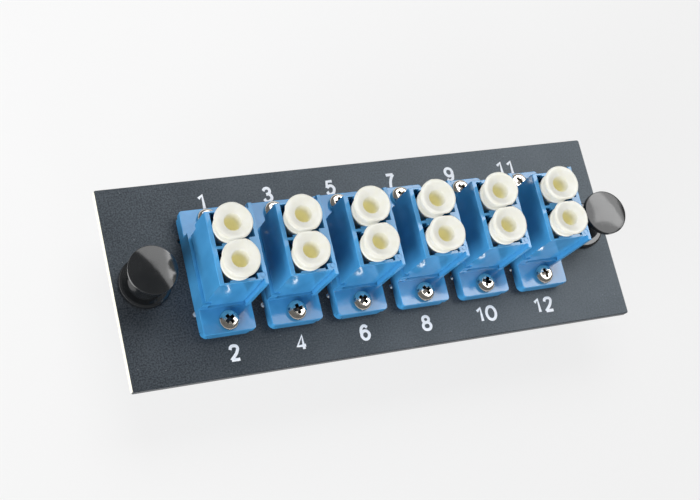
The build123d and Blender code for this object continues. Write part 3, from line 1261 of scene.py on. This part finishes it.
@dataclass
class Studio:
    """Pale floor, soft light and the camera."""

    camera_at: Point3 = (-99.305 * MM, -61.166 * MM, 222.972 * MM)
    right: Point3 = (0.91698444, -0.22691998, 0.32809579)
    down: Point3 = (-0.11927343, -0.94078762, -0.31732083)
    ahead: Point3 = (0.3806749, 0.25184516, -0.88975313)
    lens: float = 72.49
    floor_size: float = 4.0
    floor_colour: Colour = (0.80, 0.80, 0.80)
    # Tones of the camera-seen glow on the near and far sides: a painted falloff of light.
    near_tone: float = 0.88
    far_tone: float = 0.945
    far_way: Point3 = (-0.6, 0.8, 0.0)
    tone_ends: Point2 = (-0.05, 0.09)
    glow_share: float = 0.88
    sky_diffuse: float = 0.14
    sky_glossy: float = 0.16

    def build(self) -> None:
        """Set up everything that isn't part of the object."""
        self.floor()
        self.lights()
        self.camera()
        bpy.context.scene.view_settings.view_transform = "Standard"

    def floor(self) -> None:
        """A pale floor under the rear caps, nearly white to the camera, with the shadow kept; its white
        fades a little towards the near side, a painted falloff of light.
        """
        mould = Mould("floor")
        bmesh.ops.create_grid(mould.mesh, x_segments=1, y_segments=1, size=self.floor_size / 2)
        mould.move(Vector((0, 0, CAD_LOW.z - HAIR)))
        floor = mould.piece()
        graph = Graph("pale_floor")
        graph.principled(Base_Color=(*self.floor_colour, 1), Roughness=0.7)
        # Painted light falloff: the glow darkens towards the near side.
        inputs = {0: graph.place(), 1: self.far_way}
        across = graph.add("VectorMath", {"operation": "DOT_PRODUCT"}, inputs, "Value")
        tones = [(level,) * 3 for level in (self.near_tone, self.far_tone)]
        tone = graph.mix(across.smooth(*self.tone_ends), *tones)
        glow = graph.add("Emission", None, {"Color": tone, "Strength": 1.0})
        seen = graph.add("LightPath", output="Is Camera Ray")
        glossy = graph.add("LightPath", output="Is Glossy Ray")
        through = graph.add("LightPath", output="Is Transmission Ray")
        share = (seen + glossy + through).smooth(0, 1) * self.glow_share
        surface = Socket(graph, graph.surface.outputs[0])
        both = graph.add("MixShader", None, {0: share, 1: surface, 2: glow})
        graph.links.new(both.output, graph.end.inputs["Surface"])
        floor.data.materials.append(graph.material)

    def lights(self) -> None:
        """Two softboxes seen in the gloss, three lamps that give the light, and the sky."""
        self.area("softbox", (107, 122, 190), (107, 122, 0), (390, 220), 2.7, "diffuse", -61.2)
        self.area("hot spot", (222, 102, 192), (222, 102, 0), (250, 250), 3.0, "diffuse", -11.8)
        self.area("top", (-20, 190, 330), (0, 0, 0), (260, 200), 6.5, "glossy")
        self.area("fill", (-520, -300, 215), (0, 0, 0), (420, 320), 11.8, "glossy")
        self.area("front fill", (20, -520, 230), (0, 0, 0), (160, 300), 6.5, "glossy")
        world = bpy.data.worlds.new("studio")
        bpy.context.scene.world = world
        world.use_nodes = True
        nodes, links = world.node_tree.nodes, world.node_tree.links
        back = nodes["Background"]
        back.inputs["Color"].default_value = (1, 1, 1, 1)
        path = nodes.new("ShaderNodeLightPath")
        dim = nodes.new("ShaderNodeMapRange")
        dim.inputs["To Min"].default_value = self.sky_diffuse
        dim.inputs["To Max"].default_value = self.sky_glossy
        links.new(path.outputs["Is Glossy Ray"], dim.inputs["Value"])
        full = nodes.new("ShaderNodeMath")
        full.operation = "MAXIMUM"
        links.new(dim.outputs[0], full.inputs[0])
        links.new(path.outputs["Is Camera Ray"], full.inputs[1])
        links.new(full.outputs[0], back.inputs["Strength"])

    def area(
        self,
        name: str,
        at: Point3,
        to: Point3,
        size: Point2,
        radiance: float,
        hidden_from: str,
        turn: float = 0.0,
    ) -> None:
        """Add a rectangular softbox.

        Args:
            name: The lamp's name.
            at: Its middle, in millimetres.
            to: The point that it faces, in millimetres.
            size: Its width and height, in millimetres.
            radiance: How bright its face is, where 1 is white.
            hidden_from: The kind of ray, diffuse or glossy, that doesn't see it.
            turn: Turn about its own axis, in degrees.
        """
        lamp = bpy.data.lights.new(name, "AREA")
        lamp.shape = "RECTANGLE"
        lamp.size = size[0] * MM
        lamp.size_y = size[1] * MM
        lamp.energy = radiance * math.pi * lamp.size * lamp.size_y
        holder = link(name, lamp)
        setattr(holder, f"visible_{hidden_from}", False)
        holder.location = Vector(at) * MM
        aim = (Vector(to) - Vector(at)).to_track_quat("-Z", "Y").to_matrix()
        holder.rotation_euler = (aim @ Matrix.Rotation(math.radians(turn), 3, "Z")).to_euler()

    def camera(self) -> None:
        """The camera, placed and turned as measured."""
        data = bpy.data.cameras.new("camera")
        data.sensor_width = 36.0
        data.lens = self.lens
        data.clip_start = 0.01
        data.clip_end = 20
        camera = link("camera", data)
        turn = Matrix((self.right, [-c for c in self.down], [-c for c in self.ahead])).transposed()
        camera.matrix_world = Matrix.Translation(self.camera_at) @ turn.to_4x4()
        bpy.context.scene.camera = camera


def main() -> None:
    """Build the panel, then the studio."""
    logging.basicConfig(level=logging.INFO, format="%(name)s %(message)s", stream=sys.stdout)
    Plate().build()
    for index in range(1, ADAPTERS + 1):
        Adapter(index).build()
    for side in Side:
        for number in range(1, 2 * ADAPTERS + 1):
            DustCap(side, number).build()
    FlangeScrews().build()
    Latch("left", (-0.62 * MM, -0.52 * MM)).build()
    Latch("right", (0.42 * MM, -0.68 * MM)).build()
    Studio().build()


if __name__ == "__main__":
    main()
